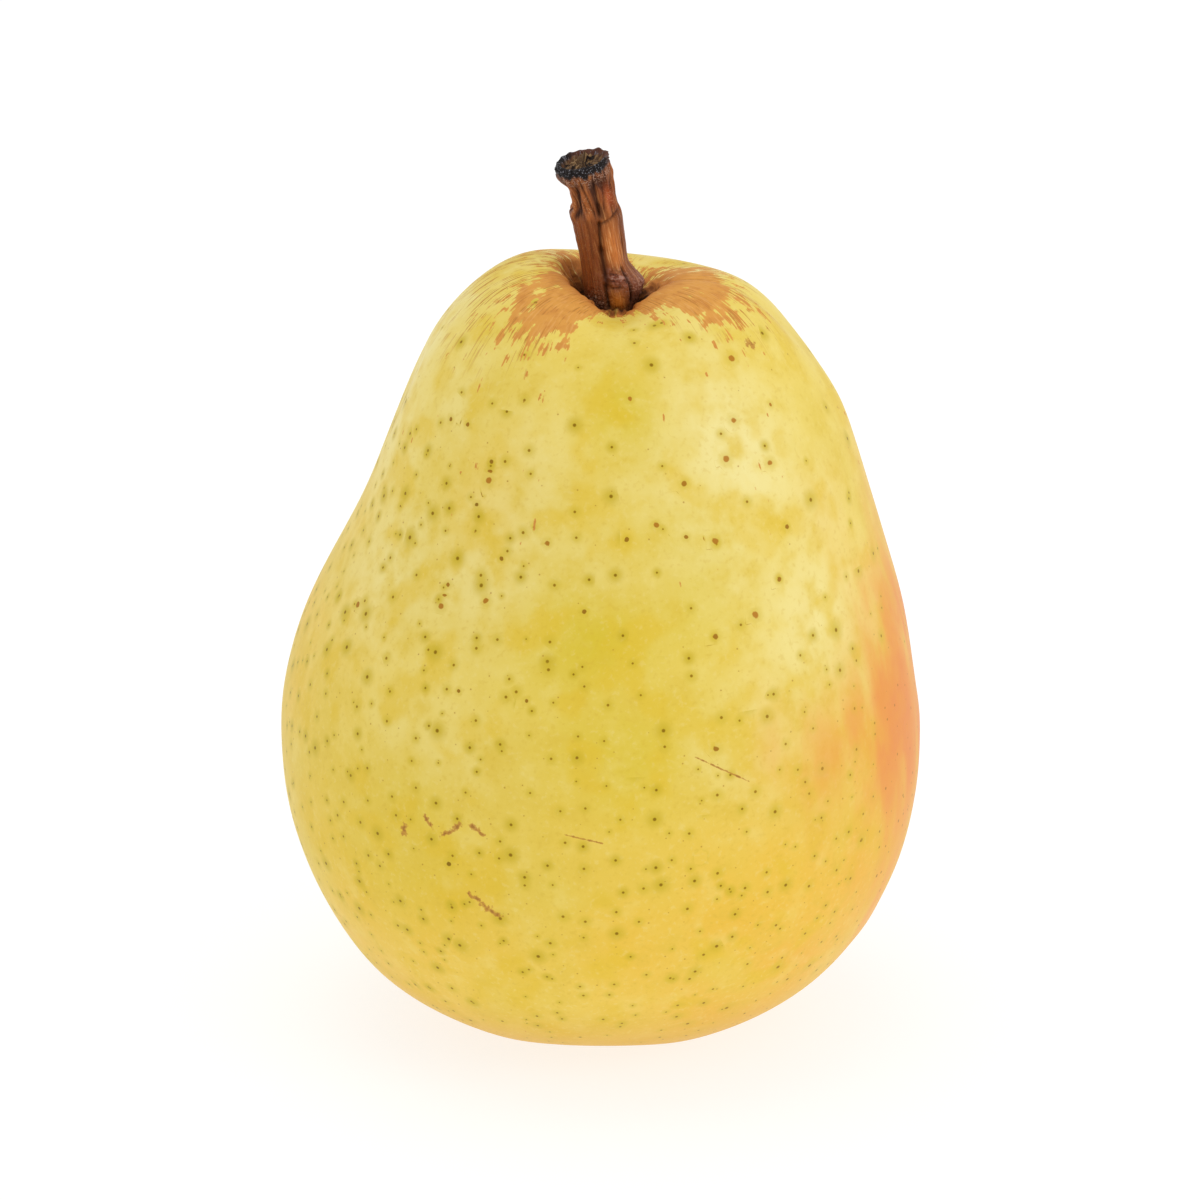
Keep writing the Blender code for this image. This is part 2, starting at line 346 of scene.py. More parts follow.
def stem_relief(azimuth, height):
    """How far the stem's bark stands out of its round section, and how far each point is in a cleft,
    more for deeper clefts, as the mask for the painted shade in the clefts.
    """
    relief = np.zeros_like(height)
    for where, half_width, rise, level, reach in STEM_RELIEF:
        around = fade(turn_from(azimuth, np.radians(where)), np.radians(half_width))
        relief += rise * MM * around * fade(height - level * MM, reach * MM)
    cleft_shade = np.zeros_like(height)
    for (azimuth_a, level_a), (azimuth_b, level_b), half_width, depth in STEM_CLEFTS:
        run = np.array([np.radians(azimuth_b - azimuth_a) * STEM_RADIUS_MM, level_b - level_a]) * MM
        beside = turn_from(azimuth, np.radians(azimuth_a)) * STEM_RADIUS_MM * MM
        spot = np.stack([beside, height - level_a * MM], axis=1)
        share = np.clip(spot @ run / (run @ run), 0, 1)
        aside = np.linalg.norm(spot - share[:, None] * run, axis=1)
        ends = smooth_step(share, -0.02, 0.12) * smooth_step(1 - share, -0.02, 0.12)
        inside = fade(aside, half_width * MM) * (0.15 + 0.85 * ends)
        relief -= depth * MM * inside
        cleft_shade = np.maximum(cleft_shade, inside * np.minimum(1, 0.2 + depth / 0.6))
    return relief, cleft_shade


def stem_folds(azimuth, height):
    """The long shrunken folds in the bark, deep above the knuckle and faint below it."""
    around = wrapped(STEM_RADIUS_MM, azimuth, height / MM)
    strength = 0.22 + 1.15 * smooth_step(height, 93.6 * MM, 95.2 * MM)
    strength *= 1 - 0.65 * smooth_step(height, 97.8 * MM, 99.4 * MM)
    wide = 2.4 * np.abs(rough(around, (1.6, 1.6, 6.0), 14)) - 0.5
    narrow = 0.7 * np.abs(rough(around, (0.55, 0.55, 3.5), 15)) - 0.15
    return strength * (wide + narrow)


def stem_zone(name, azimuth, height):
    """How far each point is in a zone of the bark, from 0 to 1."""
    where, half_width, level, reach = STEM_ZONES[name]
    around = fade(turn_from(azimuth, np.radians(where)), np.radians(half_width))
    return around * fade(height - level * MM, reach * MM)


def crust_edge(azimuth):
    """The ragged height where the bark turns to crust, lower at the front than at the right."""
    ring = wrapped(1, azimuth, 0 * azimuth)
    ragged = rough(ring, 0.22, 3) + 0.6 * rough(ring, 0.09, 4)
    return CRUST_EDGE + CRUST_RAGGED * (0.5 * ragged + 0.1 * np.cos(azimuth))


def shape_stem(radius, azimuth, height):
    """Bends the turned stem along its line and gives it ridges, clefts, fibres, crust and cut."""
    relief, _ = stem_relief(azimuth, height)
    ring = height - KNUCKLE_HEIGHT + KNUCKLE_SLOPE * radius * np.cos(azimuth)
    relief += KNUCKLE_RISE * fade(ring, KNUCKLE_REACH)

    around = wrapped(STEM_RADIUS_MM, azimuth, height / MM)
    fibres = rough(around, (0.32, 0.32, 5.0), 1) + 0.6 * rough(around, (0.17, 0.17, 2.4), 2)
    scales = rough(around, (0.55, 0.55, 0.8), 5)
    folds = stem_folds(azimuth, height)
    crust = smooth_step(height - crust_edge(azimuth), -0.15 * MM, 0.25 * MM)
    crumbs = np.abs(rough(around, 0.42, 6)) + 0.6 * np.abs(rough(around, 0.2, 7))
    fibrous = (1 - crust) * (height < FIBRES_TOP)
    crumpled = sum(stem_zone(name, azimuth, height) for name in CRUMPLED_ZONES)
    wrinkles = rough(around, (0.5, 0.5, 0.38), 16) + 0.6 * rough(around, 0.24, 17)
    relief += fibrous * MM * (0.05 * fibres + 0.04 * scales + 0.36 * folds + 0.16 * crumpled * wrinkles)
    relief += crust * (height < CRUMBS_TOP) * MM * (0.30 * crumbs - 0.12)

    on_side = np.clip(radius / (2.6 * MM), 0, 1)
    radius = radius + relief * on_side
    x = radius * np.cos(azimuth)
    y = radius * np.sin(azimuth)
    on_cut = smooth_step(height, 99.3 * MM, 99.9 * MM) * smooth_step(2.7 * MM - radius, 0, 0.7 * MM)
    flat = np.stack([x, y, 0 * x], axis=1) / MM
    pith = rough(flat, 0.7, 8) + 0.7 * rough(flat, 0.3, 9)
    shard = 0.75 * fade(np.hypot(x - 0.3 * MM, y - 0.9 * MM), 0.45 * MM)
    rim = smooth_step(height, 99.2 * MM, 100 * MM) * (1 - on_cut)
    sunk = MM * (on_cut * (-0.38 + 0.5 * pith + shard) + rim * 0.30 * rough(flat, 0.9, 13))
    near_cut = np.clip((height - SLANT_START) / (SLANT_FULL - SLANT_START), 0, 1)
    slant = near_cut * (CUT_SLOPE_RIGHT * x + CUT_SLOPE_BACK * y)
    return x + offset_at(height, STEM_LINE_MM), y, height + slant + sunk


def shape_calyx(radius, azimuth, height):
    """Cuts the turned flare back between the five sepals, and wrinkles and curls them."""
    lip_radius, lip_height = SEPAL_OUTSIDE_MM[0]
    beyond = np.clip((lip_height * MM - height) / MM, 0, 1) * (radius > 2.2 * MM)
    turn = SEPALS * turn_from(azimuth, SEPAL_AZIMUTH) / (2 * np.pi)
    sepal = np.round(turn).astype(int) % SEPALS
    aside = 2 * np.abs(turn - np.round(turn))  # 0 along a sepal's middle, 1 between two
    length = SHORTEST_REACH + (SEPAL_LENGTHS[sepal] - SHORTEST_REACH) * (1 - aside) ** 1.1
    reach = 1 - beyond * (1 - length)
    radius = lip_radius * MM + (radius - lip_radius * MM) * np.where(beyond > 0, reach, 1)
    height = np.where(beyond > 0, lip_height * MM + (height - lip_height * MM) * reach, height)
    around = wrapped(CALYX_RADIUS_MM, azimuth, radius / MM)
    wrinkles = rough(around, (0.35, 0.35, 1.8), 10) + 0.6 * rough(around, (0.18, 0.18, 0.7), 11)
    keel = fade(aside, 0.28) - 0.5
    curl = SEPAL_CURLS[sepal] * beyond * smooth_step(radius, 3.4 * MM, 5.4 * MM)
    rise = 0.22 * wrinkles + 0.16 * keel * beyond + curl
    height = height + MM * rise * smooth_step(radius, 1 * MM, 2.4 * MM)
    x = radius * np.cos(azimuth) + AXIS_DRIFT_MM[0][1] * MM
    return x, radius * np.sin(azimuth), height


# The skin's zones. Soft patches as (azimuth, height mm, half width mm, strength)
# Pale patches: partly the skin's own paler tone, partly painted highlights on the upper right of the neck
# and on the shoulders
PALE_AND_HIGHLIGHT_PATCHES = [
    (-58, 73, 11, 1.0),
    (-46, 55, 11, 0.8),
    (-148, 58, 10, 0.75),
    (-120, 63, 10, 0.7),
    (-100, 62, 8, 0.45),
    (-126, 44, 9, 0.35),
    (-165, 70, 12, 0.6),
    (-66, 66, 9, 0.8),
    (-76, 72, 8, 0.6),
    (-176, 80, 10, 0.9),
    (150, 84, 9, 0.8),
    (-142, 77, 7, 0.5),
    (-112, 72, 7, 0.5),
    (-40, 66, 8, 0.6),
    (-60, 44, 9, 0.5),
    (-86, 85, 6, 0.35),
    (28, 87, 10, 0.9),
    (75, 86, 9, 0.6),
]
GREEN_PATCHES = [
    (-87, 79, 6, 1.0),
    (-78, 60, 8, 0.7),
    (-94, 56, 8, 0.9),
    (-86, 44, 9, 0.8),
    (-130, 31, 10, 0.8),
    (-100, 52, 7, 0.4),
]
GOLD_PATCHES = [
    (-62, 26, 16, 0.9),
    (-88, 24, 14, 0.9),
    (-116, 22, 13, 0.9),
    (-142, 26, 13, 0.8),
    (-30, 26, 14, 0.8),
    (-124, 68, 6, 0.5),
    # deeper gold at the fruit's left edge, painted shade at that edge
    (-174, 44, 14, 0.9),
]
AMBER_PATCHES = [
    (-24, 20, 13, 1.0),
    (-54, 12, 12, 0.8),
    (8, 24, 14, 0.9),
    (-150, 9, 10, 0.5),
    (60, 16, 16, 0.6),
]
BLUSH_AZIMUTH = np.radians(15)
BLUSH_HEIGHT_MM = 37
BLUSH_HALF_WIDTH = np.radians(78)
BLUSH_HALF_HEIGHT_MM = 35
BLUSH_EDGE_SIZE_MM = 15  # of the lobes at its edge
BLUSH_TONGUE_SIZE_MM = (5, 5, 12)

# How far the russet reaches from the stem, in mm, at each azimuth
STEM_MIDDLE = 1.6 * MM
EYE_MIDDLE = 0.3 * MM
EYE_RUSSET_REACH_MM = 7.5
RUSSET_REACH_MM = [
    (-180, 7.5),
    (-165, 8.5),
    (-152, 11.5),
    (-144, 14.5),
    (-136, 16.0),
    (-125, 17.0),
    (-114, 17.5),
    (-107, 14.5),
    (-102, 7.5),
    (-92, 4.8),
    (-82, 5.0),
    (-73, 7.5),
    (-66, 11.5),
    (-50, 14.8),
    (-36, 16.0),
    (-18, 15.5),
    (-6, 13.5),
    (15, 11.5),
    (32, 10.5),
    (45, 7.0),
    (90, 7.5),
    (140, 8.0),
    (180, 7.5),
]

# How far thin wisps of russet reach from the stem, in mm, at each azimuth
WISP_REACH_MM = [
    (-180, 21.0),
    (-150, 21.0),
    (-118, 21.0),
    (-106, 12.0),
    (-96, 6.0),
    (-78, 6.0),
    (-68, 14.0),
    (-50, 18.0),
    (-22, 20.5),
    (20, 17.0),
    (60, 12.0),
    (120, 12.0),
    (150, 19.0),
    (180, 21.0),
]

# Where skin shows through the russet, as (azimuth, half width, mm from the stem, reach mm, strength)
RUSSET_GAPS = [
    (-167, 8, 10.0, 4.0, 0.45),
    (-138, 5, 9.5, 2.0, 0.35),
    (-114, 5, 13.0, 3.0, 0.20),
    (-22, 6, 12.5, 2.5, 0.25),
]

# Large lenticels, corked over to brown, as (azimuth, height mm, radius mm, how rusty)
LARGE_LENTICELS = [
    (-123.5, 71.8, 0.25, 0.3),
    (-123.9, 70.0, 0.37, 1.0),
    (-127.7, 56.5, 0.37, 0.9),
    (-117.6, 57.9, 0.31, 0.9),
    (-127.9, 59.1, 0.25, 0.6),
    (-116.5, 62.8, 0.23, 0.4),
    (-106.7, 64.5, 0.27, 0.8),
    (-88.9, 65.2, 0.24, 0.4),
    (-97.0, 58.3, 0.25, 0.4),
    (-68.5, 64.8, 0.34, 0.9),
    (-75.6, 65.6, 0.22, 0.6),
    (-62.3, 72.9, 0.37, 1.0),
    (-56.3, 76.0, 0.34, 1.0),
    (-60.8, 57.1, 0.38, 1.0),
    (-50.0, 71.3, 0.33, 1.0),
    (-49.3, 65.0, 0.27, 0.5),
    (-53.9, 59.4, 0.25, 0.6),
    (-82.6, 67.1, 0.28, 0.9),
    (-73.8, 70.7, 0.30, 0.7),
    (-69.6, 54.9, 0.31, 0.6),
    (-47.9, 81.5, 0.40, 1.0),
    (-85.8, 79.2, 0.25, 1.0),
    (-140.2, 74.8, 0.25, 0.4),
    (-134.1, 75.0, 0.26, 0.5),
    (-41.7, 76.9, 0.22, 0.9),
    (-116.6, 30.2, 0.30, 0.1),
    (-104.3, 49.0, 0.23, 0.4),
    (-117.7, 48.9, 0.22, 0.4),
    (-125.8, 67.7, 0.23, 0.2),
    (-70.0, 43.6, 0.33, 0.6),
    (-151.4, 53.5, 0.34, 0.8),
]

# Healed rubs and scratches, as the azimuth and height in mm of both ends, and half the width in mm
SCARS = [
    ((-126.2, 33.4), (-125.8, 32.8), 0.36),
    ((-121.8, 34.9), (-119.9, 34.1), 0.20),
    ((-117.9, 33.6), (-115.4, 34.3), 0.20),
    ((-115.4, 34.3), (-114.6, 35.2), 0.24),
    ((-113.0, 35.3), (-110.6, 34.3), 0.23),
    ((-110.1, 25.5), (-108.2, 24.7), 0.34),
    ((-113.3, 27.0), (-111.8, 26.3), 0.22),
    ((-73.3, 42.6), (-64.3, 39.8), 0.075),
    ((-96.0, 35.3), (-90.0, 34.2), 0.08),
    ((-37.8, 82.8), (-35.8, 82.2), 0.42),
    ((28.0, 38.0), (33.0, 36.0), 0.22),
    ((74.0, 52.0), (81.0, 50.5), 0.10),
    ((120.0, 30.0), (123.0, 31.5), 0.25),
    ((168.0, 61.0), (170.0, 58.0), 0.12),
]
HIDDEN_LENTICELS = 22  # large ones on the side that the photograph doesn't show
MARK_REACH_MM = 1.6  # how far round a mark the skin knows of it
SCAR_END_MM = 0.25
HOLLOW_RADIUS = 10 * MM  # no mark is kept nearer to the axis than this
FAR_MM = 9.0  # stands for nothing near


def patch_field(azimuth, height, patches):
    """The strength of soft round patches on the fruit's side."""
    field = np.zeros_like(azimuth)
    for where, level, half_width, strength in patches:
        across = turn_from(azimuth, np.radians(where)) * SKIN_RADIUS_MM
        field = np.maximum(field, strength * fade(np.hypot(across, height / MM - level), half_width))
    return field


def scattered_patches(count):
    """Seeded patches over the half of the fruit that the photograph doesn't show."""
    azimuths = rng.uniform(35, 165, count)
    levels = rng.uniform(12, 78, count)
    sizes = rng.uniform(7, 15, count)
    return [(a, z, s, 0.8) for a, z, s in zip(azimuths, levels, sizes)]


def skin_point(azimuth, points, where, level):
    """The number of the skin's own point nearest to an azimuth in degrees and a height in mm."""
    aside = turn_from(azimuth, np.radians(where)) * SKIN_RADIUS_MM * MM
    in_hollow = np.hypot(points[:, 0], points[:, 1]) < HOLLOW_RADIUS
    return int(np.argmin(np.hypot(aside, points[:, 2] - level * MM) + in_hollow))


def mark_fields(azimuth, points, normals):
    """Each point's way to its nearest large lenticel and scar, in mm, with their tones."""
    spot = np.full(points.shape, FAR_MM)
    spot_tone = np.zeros((len(points), 3))
    scar = np.full(points.shape, FAR_MM)
    nearest_spot = np.full(len(points), MARK_REACH_MM)
    nearest_scar = np.full(len(points), MARK_REACH_MM)
    ranges = [(20, 190), (18, 80), (0.2, 0.36), (0, 1)]  # azimuth, height, radius and rust
    hidden_side = zip(*[rng.uniform(low, high, HIDDEN_LENTICELS) for low, high in ranges])
    for where, level, size, rust in LARGE_LENTICELS + list(hidden_side):
        centre = points[skin_point(azimuth, points, where, level)]
        away = (points - centre) / MM
        distance = np.linalg.norm(away, axis=1)
        near = distance < nearest_spot
        spot[near] = away[near]
        spot_tone[near] = (size, rust, 0)
        nearest_spot[near] = distance[near]
    for end_a, end_b, half_width in SCARS:
        ends = [skin_point(azimuth, points, *end) for end in (end_a, end_b)]
        a, b = points[ends] / MM
        length = np.linalg.norm(b - a)
        run = (b - a) / length
        across_way = np.cross(run, normals[ends[0]])
        along = (points / MM - a) @ run
        across = (points / MM - a) @ across_way
        beyond = np.maximum(np.abs(along - length / 2) - length / 2, 0)
        distance = np.hypot(beyond, across)
        from_middle = np.linalg.norm(points / MM - (a + b) / 2, axis=1)
        distance = np.where(from_middle < length / 2 + 3, distance, FAR_MM)
        near = distance < nearest_scar
        scar[near] = np.stack([beyond / SCAR_END_MM, across / half_width, 0 * across], axis=1)[near]
        nearest_scar[near] = distance[near]
    return spot, spot_tone, scar


def make_skin():
    whole_mm = MOUTH_OUTLINE_MM + CROWN_OUTLINE_MM + NECK_OUTLINE_MM + BELLY_OUTLINE_MM + EYE_OUTLINE_MM
    skin = smooth_outline(whole_mm, SKIN_RINGS_PER_SPAN)
    stem_hole = [(0, STEM_HOLE_FLOOR), (skin[0][0], STEM_HOLE_FLOOR)]
    calyx_hole = [(skin[-1][0], CALYX_HOLE_FLOOR), (0, CALYX_HOLE_FLOOR)]
    outline = stem_hole + [tuple(p) for p in skin] + calyx_hole
    piece, _, azimuth, _ = turned_piece("pear_skin", outline, SKIN_SEGMENTS, shape_fruit)

    points, normals = places(piece)
    high = points[:, 2] > CROWN_START
    from_middle_x = points[:, 0] - np.where(high, STEM_MIDDLE, EYE_MIDDLE)
    from_stem = np.hypot(from_middle_x, points[:, 1])  # or from the eye, below
    around_stem = np.arctan2(points[:, 1], from_middle_x)
    clear = smooth_step(points[:, 2], 1 * MM, 6 * MM)
    clear = clear * np.where(high, smooth_step(from_stem, 4 * MM, 8 * MM), 1)
    lumps = sum(h * rough(points / MM, size, 12) for size, h in LUMPS_MM)
    folds = np.sin(17 * around_stem + 2 * np.sin(3 * around_stem)) + np.sin(29 * around_stem + 1)
    folds = 0.5 * folds + 1.4 * rough(points / MM, (0.9, 0.9, 1.6), 19)
    pucker = folds * fade(from_stem - PUCKER_RADIUS, PUCKER_REACH)
    for where, level, half_width, rise in SWELLINGS_MM:
        across = turn_from(azimuth, np.radians(where)) * SKIN_RADIUS_MM
        lumps += rise * fade(np.hypot(across, points[:, 2] / MM - level), half_width)
    lift = clear * lumps * MM + PUCKER_HEIGHT * pucker
    points = points + normals * lift[:, None]
    move_points(piece, points)

    height = points[:, 2]
    keep_field(piece, "pale_and_highlight", patch_field(azimuth, height, PALE_AND_HIGHLIGHT_PATCHES + scattered_patches(3)))
    keep_field(piece, "green", patch_field(azimuth, height, GREEN_PATCHES + scattered_patches(4)))
    keep_field(piece, "gold", patch_field(azimuth, height, GOLD_PATCHES + scattered_patches(3)))
    keep_field(piece, "amber", patch_field(azimuth, height, AMBER_PATCHES))
    beside = turn_from(azimuth, BLUSH_AZIMUTH) / BLUSH_HALF_WIDTH
    from_middle = np.hypot(beside, (height / MM - BLUSH_HEIGHT_MM) / BLUSH_HALF_HEIGHT_MM)
    from_middle += 0.22 * rough(points / MM, BLUSH_EDGE_SIZE_MM, 18)
    from_middle += 0.08 * rough(points / MM, BLUSH_TONGUE_SIZE_MM, 20)
    keep_field(piece, "blush", 1 - smooth_step(from_middle, 0.15, 1.22))
    keep_field(piece, "low", 1 - smooth_step(height / MM, 2, 14))
    left_or_low = np.maximum(1 - smooth_step(height / MM, 30, 62), smooth_step(-np.cos(azimuth), -0.3, 0.5))
    keep_field(piece, "pored", left_or_low * (1 - smooth_step(height / MM, 66, 82)))
    spot, spot_tone, scar = mark_fields(azimuth, points, normals)
    keep_field(piece, "spot", spot)
    keep_field(piece, "spot_tone", spot_tone)
    keep_field(piece, "scar", scar)
    where, reach = np.array(RUSSET_REACH_MM, float).T
    reach_here = np.interp(np.degrees(around_stem), where, reach)
    inwards = reach_here - from_stem / MM
    russet = 0.5 + 0.45 * np.tanh(inwards / 5)
    for turn, half_width, away, reach, strength in RUSSET_GAPS:
        beside = turn_from(around_stem, np.radians(turn)) / np.radians(half_width)
        russet -= strength * fade(np.hypot(beside, (from_stem / MM - away) / reach), 1)
    at_eye = 0.42 + 0.45 * np.tanh((EYE_RUSSET_REACH_MM - from_stem / MM) / 4)
    at_eye = np.where(height < 12 * MM, at_eye, -2)
    keep_field(piece, "russet", np.where(high, russet, at_eye))
    where, reach = np.array(WISP_REACH_MM, float).T
    reach_here = np.interp(np.degrees(around_stem), where, reach)
    keep_field(piece, "wispy", high * smooth_step(reach_here + 1 - from_stem / MM, 0, 7))
    keep_field(piece, "streaks", wrapped(SKIN_RADIUS_MM, around_stem, from_stem / MM / STREAK_STRETCH))
    keep_field(piece, "from_stem", from_stem / MM)
    return piece


def make_stem():
    side = smooth_outline(STEM_SIDE_MM, SIDE_RINGS_PER_SPAN)
    cut = smooth_outline([STEM_SIDE_MM[-1]] + STEM_CUT_MM, CUT_RINGS_PER_SPAN)[1:]
    foot = [(0, STEM_FOOT), (STEM_RADIUS_MM * MM, STEM_FOOT)]
    middle = [(r * MM, cut[-1][1]) for r in np.linspace(0.9, 0, 8)[1:]]
    outline = foot + [tuple(p) for p in side] + [tuple(p) for p in cut] + middle
    piece, radius, azimuth, height = turned_piece("woody_stem", outline, STEM_SEGMENTS, shape_stem)

    crust = smooth_step(height - crust_edge(azimuth), -0.2 * MM, 0.2 * MM)
    on_cut = smooth_step(height, 99.4 * MM, 99.9 * MM) * smooth_step(2.35 * MM - radius, 0, 0.5 * MM)
    keep_field(piece, "crust", crust * (1 - on_cut))
    keep_field(piece, "back", smooth_step(np.cos(azimuth - np.radians(50)), 0.1, 0.7))
    keep_field(piece, "below_crust", 1 - smooth_step(crust_edge(azimuth) - height, 0, 1.6 * MM))
    keep_field(piece, "cut", on_cut)
    # The folds' relief, which also paints light on their crests and shade in their grooves
    keep_field(piece, "fold", stem_folds(azimuth, height))
    # How far each point is in a cleft, for the painted shade there
    keep_field(piece, "cleft", stem_relief(azimuth, height)[1])
    # The stem's foot, but for the toe, is darkened as painted shade where it sinks into the hollow
    near_foot = 1 - smooth_step(height, 84.2 * MM, 86.6 * MM)
    keep_field(piece, "foot", near_foot * (1 - stem_zone("toe", azimuth, 84.9 * MM)))
    left_side = fade(turn_from(azimuth, np.radians(-140)), np.radians(42))
    keep_field(piece, "panel", left_side * (1 - smooth_step(height, 93.4 * MM, 94.8 * MM)))
    for name in STEM_ZONES:
        keep_field(piece, name, stem_zone(name, azimuth, height))
    keep_field(piece, "turn", wrapped(STEM_RADIUS_MM, azimuth, height / MM))
    return piece


def make_calyx():
    points = CUP_OUTSIDE_MM + SEPAL_OUTSIDE_MM + SEPAL_INSIDE_MM + CUP_INSIDE_MM
    fine = []
    for (r0, z0), (r1, z1) in zip(points, points[1:]):
        for share in np.linspace(0, 1, CALYX_RINGS_PER_SPAN, endpoint=False):
            fine.append((MM * (r0 + (r1 - r0) * share), MM * (z0 + (z1 - z0) * share)))
    outline = [(0, CALYX_FOOT)] + fine + [(points[-1][0] * MM, points[-1][1] * MM), (0, STYLE_TIP)]
    piece, radius, azimuth, _ = turned_piece("dried_calyx", outline, CALYX_SEGMENTS, shape_calyx)
    keep_field(piece, "outward", radius / MM)
    keep_field(piece, "turn", wrapped(CALYX_RADIUS_MM, azimuth, radius / MM))
    return piece


def linear(hex_value, alpha=1.0):
    """An sRGB hex colour as the linear colour that Blender's shaders take."""
    channels = []
    for i in (0, 2, 4):
        value = int(hex_value[i : i + 2], 16) / 255
        channels.append(value / 12.92 if value <= 0.04045 else ((value + 0.055) / 1.055) ** 2.4)
    return (*channels, alpha)


def add_node(tree, kind, inputs=(), output=0, **settings):
    """Adds a node with its settings and gives back one of its outputs. Each input is a number, a
    vector, a hex colour or another node's output to link to, listed in the sockets' order or by name."""
    made = tree.nodes.new("ShaderNode" + kind)
    for name, value in settings.items():
        setattr(made, name, value)
    named = inputs if isinstance(inputs, dict) else dict(enumerate(inputs))
    for socket, value in named.items():
        if isinstance(value, bpy.types.NodeSocket):
            tree.links.new(value, made.inputs[socket])
        else:
            made.inputs[socket].default_value = linear(value) if isinstance(value, str) else value
    return made.outputs[output]


def new_material(name, **sockets):
    """A material with its shader, whose uniform values are set on the shader itself."""
    material = bpy.data.materials.new(name)
    material.use_nodes = True
    shader = material.node_tree.nodes["Principled BSDF"]
    for socket, value in sockets.items():
        shader.inputs[socket.replace("_", " ")].default_value = value
    return material, partial(add_node, material.node_tree), shader


def lay_tints(add, colour, tints):
    """Lays tints over a colour, each as strong as its masks multiplied together. A mask is a number, a
    node's output, or (output, low, high) for a soft step from none at low to all at high."""
    for masks, tint in tints:
        masks = [add("MapRange", mask, **SOFT) if isinstance(mask, tuple) else mask for mask in masks]
        amount = masks[0]
        for mask in masks[1:]:
            amount = add("Math", [amount, mask], **TIMES)
        colour = add("Mix", {0: amount, 6: colour, 7: tint}, 2, data_type="RGBA")
    return colour


def finish_shader(shader, **outputs):
    """Links the finished colour, roughness and bump to the shader."""
    for socket, output in outputs.items():
        shader.id_data.links.new(output, shader.inputs[socket.replace("_", " ")])


# Settings that many nodes share
TIMES = {"operation": "MULTIPLY"}
PLUS = {"operation": "ADD"}
TIMES_PLUS = {"operation": "MULTIPLY_ADD"}
LENGTH = {"operation": "LENGTH", "output": "Value"}
SOFT = {"interpolation_type": "SMOOTHSTEP"}

# Lenticels, the skin's breathing pores, as (spacing in mm, share of places that have one, dot radius in
# mm, halo radius in mm, dot, halo, how much the dot and the halo show, seed)
LENTICEL_KINDS = [
    (4.2, 1.00, 0.17, 1.30, "8c6800", "d0b428", 0.92, 0.84, 3.1),
    (3.0, 0.90, 0.13, 0.95, "966c00", "d6ba30", 0.88, 0.68, 8.7),
    (1.9, 0.42, 0.08, 0.30, "a8661c", "dcc040", 0.55, 0.10, 15.9),
]
LENTICEL_EVENNESS = 0.80
HALO_DEPTH = 0.33  # of the spacing: a pore this far under or over the skin isn't drawn

# What the mesh keeps for the skin's material
SKIN_NUMBERS = ("pale_and_highlight", "gold", "green", "amber", "blush", "low", "pored", "russet", "wispy", "from_stem")
SKIN_VECTORS = ("spot", "spot_tone", "scar", "streaks")

# The skin's noises, as (real size in mm, how many finer sizes it mixes). The wax's own grain and pits,
# of about 0.05 mm, are too fine to show and are drawn at about ten times their size
SKIN_NOISES = {
    "clouds": (13.0, 3),
    "mottle": (3.2, 3),
    "grain": (0.6, 2),
    "flakes": (1.5, 3),
    "patches": (3.0, 2),
    "blotches": (6.0, 2),
    "rubs": (0.45, 4),
    "pits": (0.5, 2),
}
BLUSH_STREAK_MM = 4.5
BLUSH_STREAK_SQUEEZE = (1.0, 1.0, 0.3)  # three times as long as wide

# The russet's streaks run away from the stem. 15 mm from it, one unit of them is half a mm across
STREAK_UNIT_MM = 0.5
STREAK_STRETCH = 3.4
STREAK_NOISES = {"hatching": (0.275, 2), "tongues": (1.1, 3)}  # width in mm there, finer sizes
DASH_SQUEEZE = (2.3, 2.3, 0.8)  # loose dashes, 0.2 mm wide and 4 mm long

# The bark's noises. Real fibres and flecks, of about 0.03 mm, are drawn coarser
BARK_NOISES = {"blotches": (1.3, 4), "flecks": (0.16, 4), "crumbs": (0.45, 4)}
BARK_NUMBERS = ("fold", "cleft", "foot", "below_crust", "crust", "back", "cut", "panel", *STEM_ZONES)
FIBRE_MM = 0.2
FIBRE_SQUEEZE = (1.0, 1.0, 0.09)

# The sepals' veins and spots, at their real size
VEIN_MM = 0.22
VEIN_SQUEEZE = (1.0, 1.0, 0.25)
SEPAL_SPOT_MM = 0.6


